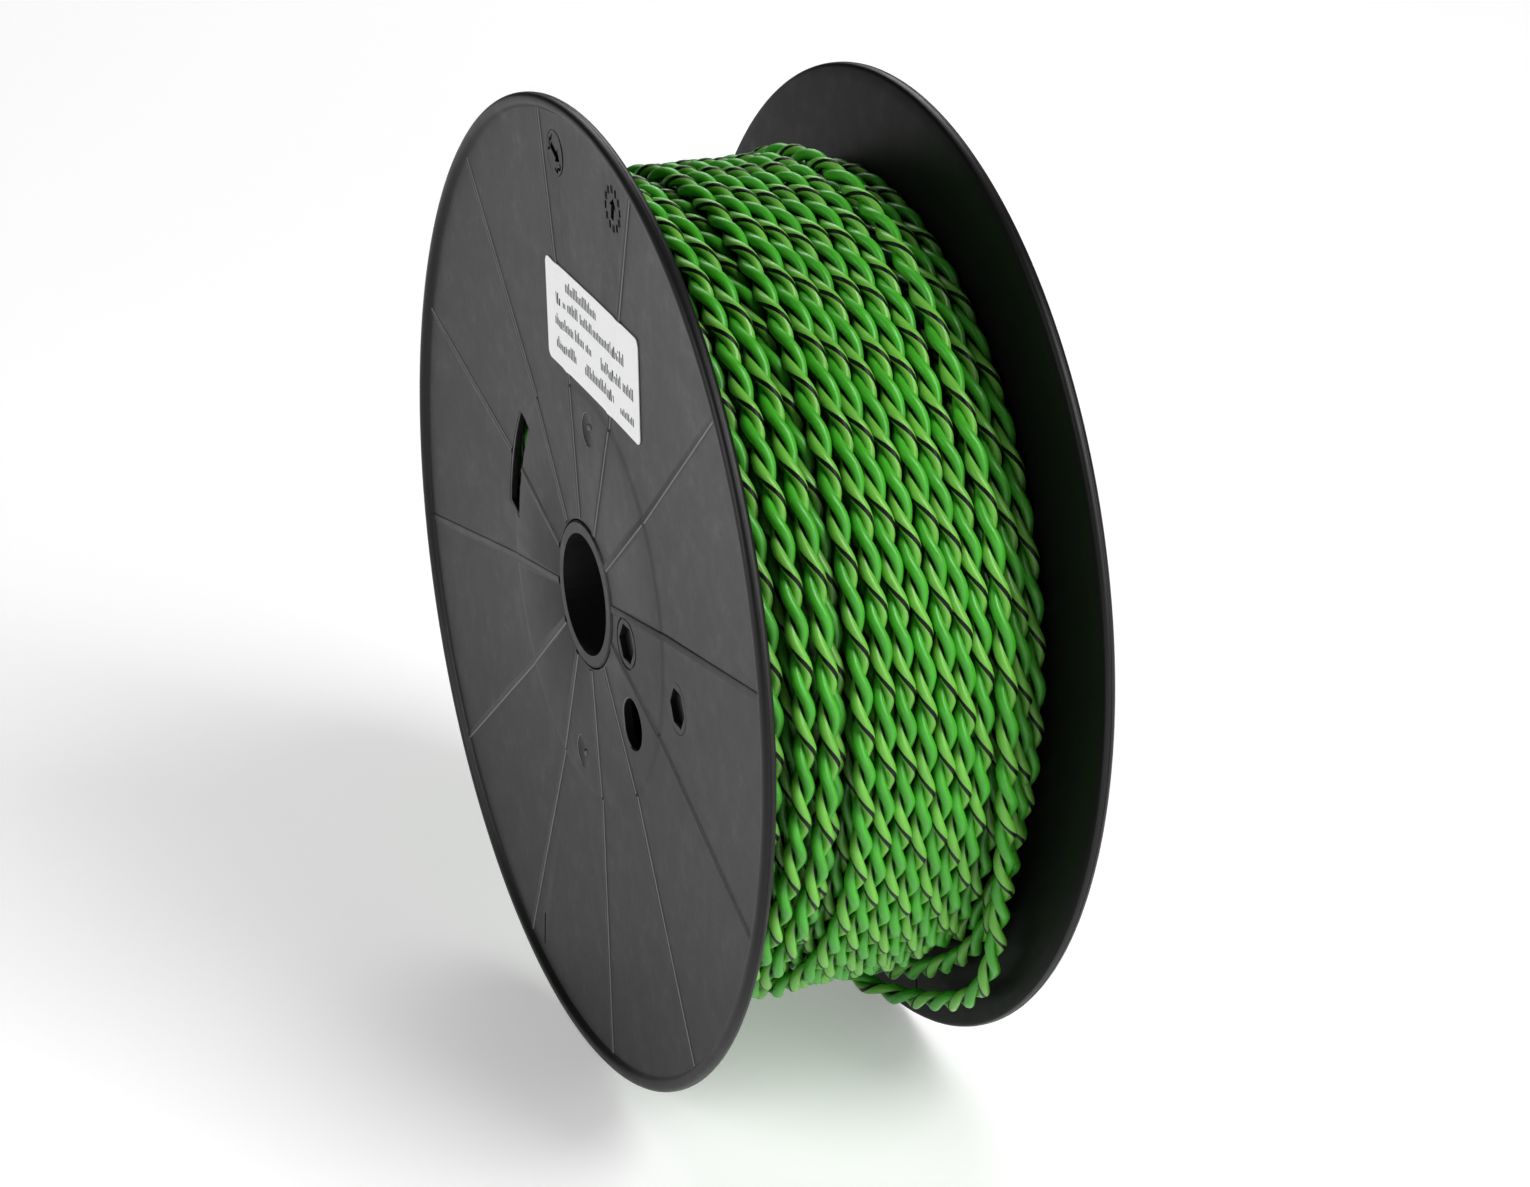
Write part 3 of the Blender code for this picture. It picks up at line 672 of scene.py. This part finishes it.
# Turns that lift off and cross the others, as (travel, radius, place along the axis).
FAR_CROSSING = (
    (-205, 92.5, 31.0), (-185, 94.0, 31.0), (-160, 97.5, 31.0), (-140, 98.9, 31.0), (-85, 98.9, 31.2),
    (-60, 98.9, 31.0), (-40, 98.9, 30.9), (-20, 98.9, 31.3), (0, 99.1, 32.2), (14, 100.0, 33.2),
    (26, 101.2, 34.6), (34, 102.6, 35.6), (40, 105.2, 35.8), (44, 106.6, 35.4), (49, 107.4, 35.1),
    (55, 107.6, 35.0), (60.6, 108.0, 34.6), (66.4, 108.6, 34.0), (71, 109.4, 33.1), (75, 110.2, 31.9),
    (79, 109.9, 30.8), (85, 109.8, 29.0), (93, 109.8, 26.0), (102, 109.8, 21.6), (112, 109.8, 16.0),
    (122, 109.6, 10.0), (132, 109.0, 3.4), (142, 108.1, -4.0), (152, 107.4, -11.5), (163, 107.0, -19.0),
    (175, 106.0, -24.2), (190, 104.0, -26.0), (208, 102.2, -26.0), (230, 101.8, -25.8),
)
LAST_TURN = (
    (-85, 103.6, 24.9), (-60, 103.6, 24.7), (-40, 103.6, 24.6), (-20, 103.6, 25.1), (0, 103.7, 26.2),
    (10, 104.0, 27.4), (20, 105.3, 29.5), (27, 107.2, 31.0), (31, 108.3, 32.0), (35, 110.0, 33.0),
    (39, 112.4, 33.9), (42.6, 114.8, 34.3), (46, 117.0, 34.4), (49.6, 118.1, 34.3), (54, 117.9, 34.2),
    (59, 116.8, 34.0), (64.3, 116.1, 33.2), (69.3, 115.8, 31.9), (72.6, 115.2, 30.2), (75.2, 114.2, 28.4),
    (77.2, 113.3, 26.6), (80, 112.0, 24.8), (85, 110.4, 22.0), (92, 109.9, 18.2), (102, 109.8, 12.6),
    (112, 109.8, 7.0), (122, 109.6, 1.0), (132, 109.0, -6.0), (142, 108.1, -13.6), (152, 107.3, -21.2),
    (162, 106.2, -28.0), (171, 105.0, -32.4), (180, 104.5, -33.5), (192, 104.4, -33.5),
)
# The third turn rides up over the gap beside it along the underside.
THIRD_TURN = (
    (59, 102.8, -9.0), (70, 103.2, -11.0), (82, 103.2, -13.2), (95, 102.8, -14.0), (125, 101.8, -13.6),
)
FAR_TWIST, LAST_TWIST = (20.55, 86.0), (21.05, -162.0)        # length of a full twist, and the twist
FAR_ENDS, LAST_ENDS = (-85.0, 10.0), (-85.0, 8.0)             # travel between which those hold
FIRST_TURN_BACK = (130.0, -20.4)              # travel and place where the first turn passes underneath
SHORT_GAP = 140.0                             # marks less than this apart in travel lie on one turn
EASING = 7                                    # half width of the running mean over the route, in half degrees
WANDER_X, WANDER_R = (90, 0.10), (60, 0.13)   # reach and size of the wobble along the axis and in radius
# Closed rings that fill what the long wire leaves open, as (place along the axis, radius, twist at -Y).
NEAR_RINGS = ((-35.4, LOW_R, 100.0), (-30.3, LOW_R, -20.0), (-14.7, 98.3, -60.0))
FAR_RING_X, FAR_RING_LAY, FAR_RING_PHASE = 35.8, 20.4, -99.0
SECOND_R, SECOND_PLACES = 97.0, (-25.2, -20.0, -9.3, -4.2, 0.9, 6.0, 11.1, 16.2, 21.3)
SLACK_PLACES, SLACK_DROOP = ((0.0, 26.4), (20.0, 28.8), (50.0, 29.4), (80.0, 28.0), (110.0, 26.4)), 2.0
FIRST_X, FIRST_RADII = 33.4, (53.1, 57.6, 62.1)
# Travel where the pieces of the long wire part; the last one starts LAST_TURN_LEAD before its turn.
FAR_LIFT, NEAR_END, LAST_TURN_LEAD = 200.0, 360.0 * 2 + 180.0, 196.0
# The ring that stands for the hidden layers: a row of ridges one turn apart, and a step down at each flange.
RIDGE_COUNT, RIDGE_PITCH, RIDGE_START = 14, 5.05, 32.8
DRUM_R, DRUM_GROOVE_R, DRUM_CORE_R, DRUM_STEP_R = 94.2, 92.8, 50.35, 64.5
DRUM_HALF, DRUM_CORE_HALF = 35.4, 30.4


def at_travel(travel_deg, radius, x):
    """Points at a travel angle about the axis, starting from -Y."""
    turned = np.radians(travel_deg)
    return np.stack([np.broadcast_to(x, turned.shape), -radius * np.cos(turned), -radius * np.sin(turned)],
                    axis=-1)


def sagging(travel, radius):
    """How far a turn hangs off the drum at a travel angle."""
    share = np.interp(travel % 360.0, SAG_AT, SAG_SHARE, right=0.0)
    return SAG * share * np.clip((SAG_END - radius) / SAG_FADE, 0.0, 1.0)


def eased(values, half_width):
    """Running mean, so that straight runs between knots join in smooth curves."""
    kernel = np.hanning(2 * half_width + 1)
    kernel /= kernel.sum()
    padded = np.concatenate([np.full(half_width, values[0]), values, np.full(half_width, values[-1])])
    return np.convolve(padded, kernel, mode="valid")


def wander(count, reach, size):
    """Slow seeded wobble of about size, changing over about reach samples."""
    knots = rng.normal(0.0, size, count // reach + 3)
    return eased(np.interp(np.arange(count), np.arange(len(knots)) * reach, knots), reach // 2)


def twist_marks(turn, lay, phase_deg, ends=(-SEEN[0], -SEEN[-1])):
    """Twist of one turn at the two ends of what is seen of it, as (travel, lay, twist)."""
    return [(360.0 * turn + end, lay, math.radians(phase_deg) + 2.0 * math.pi * TOP_R
             * math.radians(TWIST_AT + end) / lay) for end in ends]


def continuous_twist(marks, fine, arc):
    """Twist along the wire: each mark plus the whole number of turns that keeps the lay nearest to LAY."""
    travel, twist = [marks[0][0]], [marks[0][2]]
    for here, lay, value in marks[1:]:
        run = np.interp(here, fine, arc) - np.interp(travel[-1], fine, arc)
        nominal = twist[-1] + 2.0 * math.pi * run / (lay if here - travel[-1] < SHORT_GAP else LAY)
        twist.append(value + 2.0 * math.pi * round((nominal - value) / (2.0 * math.pi)))
        travel.append(here)
    before, after = np.interp(travel[0], fine, arc), arc[-1] - np.interp(travel[-1], fine, arc)
    travel = [fine[0], *travel, fine[-1]]
    twist = [twist[0] - 2.0 * math.pi * before / LAY, *twist, twist[-1] + 2.0 * math.pi * after / LAY]
    return np.interp(fine, travel, twist)


def long_wire(knots, marks):
    """Route, outward directions, twist and travel of one long wire, evenly spaced."""
    travel, radius, x = (np.array(column, float) for column in zip(*knots))
    fine = np.arange(travel[0], travel[-1] + 0.01, 0.5)
    smooth_x = eased(np.interp(fine, travel, x), EASING) + wander(len(fine), *WANDER_X)
    base_r = np.interp(fine, travel, radius)
    smooth_r = eased(base_r + sagging(fine, base_r), EASING) + wander(len(fine), *WANDER_R)
    route = at_travel(fine, smooth_r, smooth_x)
    arc = np.concatenate([[0.0], np.cumsum(np.linalg.norm(np.diff(route, axis=0), axis=1))])
    twist = continuous_twist(marks, fine, arc)
    even = np.arange(0.0, arc[-1], LAY / RINGS_PER_LAY)
    spots = np.stack([np.interp(even, arc, route[:, k]) for k in range(3)], axis=-1)
    return spots, spots * np.array([0.0, 1.0, 1.0]), np.interp(even, arc, twist), np.interp(even, arc, fine)


def closed_turn(x, radius, lay, phase_deg, droop=1.0):
    """Route, outward directions and twist of one closed turn, hanging droop times as far as the others.

    Its place x is one number, or pairs of (travel, place).
    """
    around = 2.0 * math.pi * radius
    whole = round(around / lay)
    count = whole * RINGS_PER_LAY
    share = np.arange(count) / count
    place = np.interp(360.0 * share, *zip(*x)) if np.ndim(x) else x
    spots = at_travel(360.0 * share, radius + droop * sagging(360.0 * share, radius), place)
    return spots, spots * np.array([0.0, 1.0, 1.0]), math.radians(phase_deg) + 2.0 * math.pi * whole * share


def merged_pairs(pairs):
    """Several twisted pairs as one set of points, faces and material numbers."""
    verts, faces, materials, base = [], [], [], 0
    for part_verts, part_faces, part_materials in pairs:
        verts.append(part_verts)
        faces += [[base + i for i in face] for face in part_faces]
        materials.append(part_materials)
        base += len(part_verts)
    return np.concatenate(verts), faces, np.concatenate(materials)


def wire_piece(name, pairs, slot, *stands_for):
    verts, faces, materials = merged_pairs(pairs)
    return finish_piece(make_object(name, verts, faces, CORES, materials), slot, *stands_for)


def stretch(wire, start, end):
    """The part of a long wire between two travel angles, as a twisted pair."""
    spots, outward, twist, travel = wire
    part = slice(int(np.searchsorted(travel, start)), int(np.searchsorted(travel, end)) + 1)
    return twisted_pair(spots[part], outward[part], twist[part])


def outer_turns():
    """The long wire through all the turns that show, cut into its pieces, with the rings beside it."""
    knots, marks = list(FAR_CROSSING), twist_marks(0, *FAR_TWIST, ends=FAR_ENDS)
    for index, (places, lay, phase) in enumerate(TOP_TURNS):
        knots += [(360.0 * (index + 1) - angle, TOP_R, place) for angle, place in zip(SEEN, places)]
        marks += twist_marks(index + 1, lay, phase)
        if index == 0:
            knots.append((360.0 + FIRST_TURN_BACK[0], TOP_R, FIRST_TURN_BACK[1]))
        if index == 2:
            knots += [(360.0 * 3 + travel, radius, x) for travel, radius, x in THIRD_TURN]
    last = len(TOP_TURNS) + 1
    knots += [(360.0 * last + travel, radius, x) for travel, radius, x in LAST_TURN]
    marks += twist_marks(last, *LAST_TWIST, ends=LAST_ENDS)
    top = long_wire(knots, marks)
    first_travel, last_travel = top[3][0], top[3][-1]
    last_start = 360.0 * last - LAST_TURN_LEAD
    near_rings = [twisted_pair(*closed_turn(x, radius, LAY, phase), closed=True)
                  for x, radius, phase in NEAR_RINGS]
    far_ring = twisted_pair(*closed_turn(FAR_RING_X, LOW_R, FAR_RING_LAY, FAR_RING_PHASE), closed=True)
    wire_piece("cable_turns_near_side", [*near_rings, stretch(top, FAR_LIFT, NEAR_END)], "wire_green_black",
               "cable_top_turns_near")
    wire_piece("cable_turns_middle", [stretch(top, NEAR_END, last_start)], "wire_green_black",
               "cable_top_turns_middle")
    wire_piece("cable_last_turn_pair", [stretch(top, last_start, last_travel)], "wire_green_black",
               "cable_last_turn")
    wire_piece("cable_turns_far_side", [stretch(top, first_travel, FAR_LIFT), far_ring], "wire_green_black",
               "cable_top_turns_far")


def lower_layers():
    """The second layer, three turns at the foot of each flange, and one plain ring for the hidden rest."""
    below = [closed_turn(x, SECOND_R, LAY, rng.uniform(-180.0, 180.0)) for x in SECOND_PLACES]
    below.append(closed_turn(SLACK_PLACES, SECOND_R, LAY, 60.0, droop=SLACK_DROOP))
    wire_piece("cable_second_layer", [twisted_pair(*turn, sides=8, closed=True) for turn in below],
               "wire_green_black", "cable_full_layers")
    first = [closed_turn(side * FIRST_X, radius, LAY, rng.uniform(-180.0, 180.0))
             for side in (-1, 1) for radius in FIRST_RADII]
    wire_piece("cable_first_layers", [twisted_pair(*turn, sides=10, closed=True) for turn in first],
               "wire_green_black", "cable_full_layers")
    ring = []
    for k in range(RIDGE_COUNT):
        x = RIDGE_START - RIDGE_PITCH * k
        ring += [(DRUM_GROOVE_R, x + 2.5), (DRUM_R, x + 1.1), (DRUM_R, x - 1.1)]
    ring += [(DRUM_GROOVE_R, -DRUM_HALF), (DRUM_STEP_R, -DRUM_HALF), (DRUM_STEP_R, -DRUM_CORE_HALF),
             (DRUM_CORE_R, -DRUM_CORE_HALF), (DRUM_CORE_R, DRUM_CORE_HALF), (DRUM_STEP_R, DRUM_CORE_HALF),
             (DRUM_STEP_R, DRUM_HALF), (DRUM_GROOVE_R, DRUM_HALF)]
    # This ring lies wholly inside the insulation's painted shade, so all of it is painted at the darkest
    # tone.
    drum = make_object("cable_inner_layers", *lathe(ring, 96), [PLAIN_GREEN], matrix=FAR_SIDE)
    finish_piece(drum, "wire_green", "cable_full_layers")


# ---------------------------------------------------------------- label
LABEL_SIZE = (64.0, 26.6)
LABEL_MID = (10.7, 67.7)
LABEL_TURN = -3.4
LABEL_T = 0.2
LABEL_CORNER = 2.0
LABEL_GAP, LABEL_CELL = 0.06, 1.6             # gap to the flange's face, and size of the mesh's cells
PRINT_SINK, PRINT_T = 0.01, 0.03              # how deep the print sits in the paper, and its thickness
RIB_PUSH, RIB_PUSH_WIDTH = 0.3, 1.6           # how high a rib lifts the paper, and how far to its sides
# Plain upright ticks stand in for the printed words: (start, end, top edge to the words' middle, height).
LABEL_WORDS = (
    (14.3, 35.5, 3.9, 3.0),
    (7.7, 10.6, 8.8, 3.0), (12.0, 13.8, 9.1, 2.2), (15.2, 22.5, 8.8, 3.0), (24.0, 31.6, 9.0, 2.6),
    (33.0, 54.0, 8.8, 3.1),
    (6.2, 18.6, 14.6, 3.1), (20.0, 26.0, 14.6, 3.0), (27.4, 30.8, 15.0, 2.2), (38.0, 51.5, 15.3, 3.1),
    (53.2, 60.6, 15.3, 3.0),
    (6.6, 20.0, 20.6, 3.1), (26.5, 46.2, 20.8, 3.1), (51.0, 60.0, 22.2, 2.0),
)
TICK_W, TICK_PITCH, TICK_SHARES = 0.62, 1.08, (0.62, 0.72, 1.0)


def rounded_rectangle(width, height, corner, steps=6):
    """Outline of a rectangle with round corners."""
    points = []
    for k, (cu, cv) in enumerate(((1, 1), (-1, 1), (-1, -1), (1, -1))):
        for s in range(steps + 1):
            a = math.radians(90.0 * (k + s / steps))
            points.append((cu * (0.5 * width - corner) + corner * math.cos(a),
                           cv * (0.5 * height - corner) + corner * math.sin(a)))
    return points


def rib_lift(u, v):
    """How far the sticker is pushed up where it lies over a rib."""
    radius, angle = math.hypot(u, v), math.degrees(math.atan2(v, u))
    off = (angle - RIB_START + 0.5 * STEP) % STEP - 0.5 * STEP
    across = abs(radius * math.sin(math.radians(off)))
    return RIB_PUSH * math.exp(-(across / RIB_PUSH_WIDTH) ** 2)


def draped_plate(outline, lift, thickness, cells):
    """Thin plate cut to an outline (label's own axes, mm) that follows the flange face and its ribs."""
    work = bmesh.new()
    ring = [work.verts.new((u, v, 0.0)) for u, v in outline]
    work.faces.new(ring)
    low = [min(p[k] for p in outline) for k in range(2)]
    high = [max(p[k] for p in outline) for k in range(2)]
    for axis in range(2):
        count = max(1, round((high[axis] - low[axis]) / cells))
        for k in range(1, count):
            spot, normal = [0.0, 0.0, 0.0], [0.0, 0.0, 0.0]
            spot[axis] = low[axis] + (high[axis] - low[axis]) * k / count
            normal[axis] = 1.0
            geometry = work.verts[:] + work.edges[:] + work.faces[:]
            bmesh.ops.bisect_plane(work, geom=geometry, plane_co=spot, plane_no=normal)
    turn = math.radians(LABEL_TURN)
    c, s = math.cos(turn), math.sin(turn)
    upper = {}
    for vert in list(work.verts):
        u = vert.co.x * c - vert.co.y * s + LABEL_MID[0]
        v = vert.co.x * s + vert.co.y * c + LABEL_MID[1]
        upper[vert] = (u, v, face_x(max(DISC_R + 1.0, math.hypot(u, v))) + rib_lift(u, v) + lift)
    for vert, spot in upper.items():
        vert.co = spot
    made = bmesh.ops.extrude_face_region(work, geom=work.faces[:])
    for element in made["geom"]:
        if isinstance(element, bmesh.types.BMVert):
            element.co.z += thickness
    bmesh.ops.recalc_face_normals(work, faces=work.faces)
    verts = [tuple(v.co) for v in work.verts]
    work.verts.index_update()
    faces = [tuple(v.index for v in f.verts) for f in work.faces]
    work.free()
    return verts, faces


def label():
    """The sticker, and its print as rows of ticks."""
    outline = rounded_rectangle(*LABEL_SIZE, LABEL_CORNER)
    verts, faces = draped_plate(outline, LABEL_GAP, LABEL_T, LABEL_CELL)
    sticker = make_object("label_sticker", verts, faces, [LABEL_WHITE], matrix=LABEL_SIDE)
    sticker.data.set_sharp_from_angle(angle=math.radians(LABEL_SHARP_DEG))
    finish_piece(sticker, "label_white", "label")
    plates = []
    for start, end, below, height in LABEL_WORDS:
        for u in np.arange(start, end, TICK_PITCH):
            share = rng.choice(TICK_SHARES)
            low = 0.5 * LABEL_SIZE[1] - below - 0.5 * height
            tick = block(u - 0.5 * LABEL_SIZE[0], low + 0.5 * share * height, TICK_W, share * height, 90.0)
            plates.append(draped_plate(tick, LABEL_GAP + LABEL_T - PRINT_SINK, PRINT_T, LABEL_CELL))
    verts, faces = joined(plates)
    finish_piece(make_object("label_print", verts, faces, [PRINT_BLACK], smooth=False, matrix=LABEL_SIDE),
                 "flange_black")


# ---------------------------------------------------------------- build
add_camera()
add_studio()
for node_name, cad_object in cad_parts.items():
    cad_object.data.materials.clear()
    cad_object.data.materials.append(CAD_BLACK if "flange" not in node_name else FLANGE_BLACK)
finish_piece(flange("flange_moulding_label_side", LABEL_SIDE, True), "flange_black", "flange_label_side")
finish_piece(flange("flange_moulding_far_side", FAR_SIDE, False), "flange_black", "flange_far_side")
outer_turns()
lower_layers()
label()
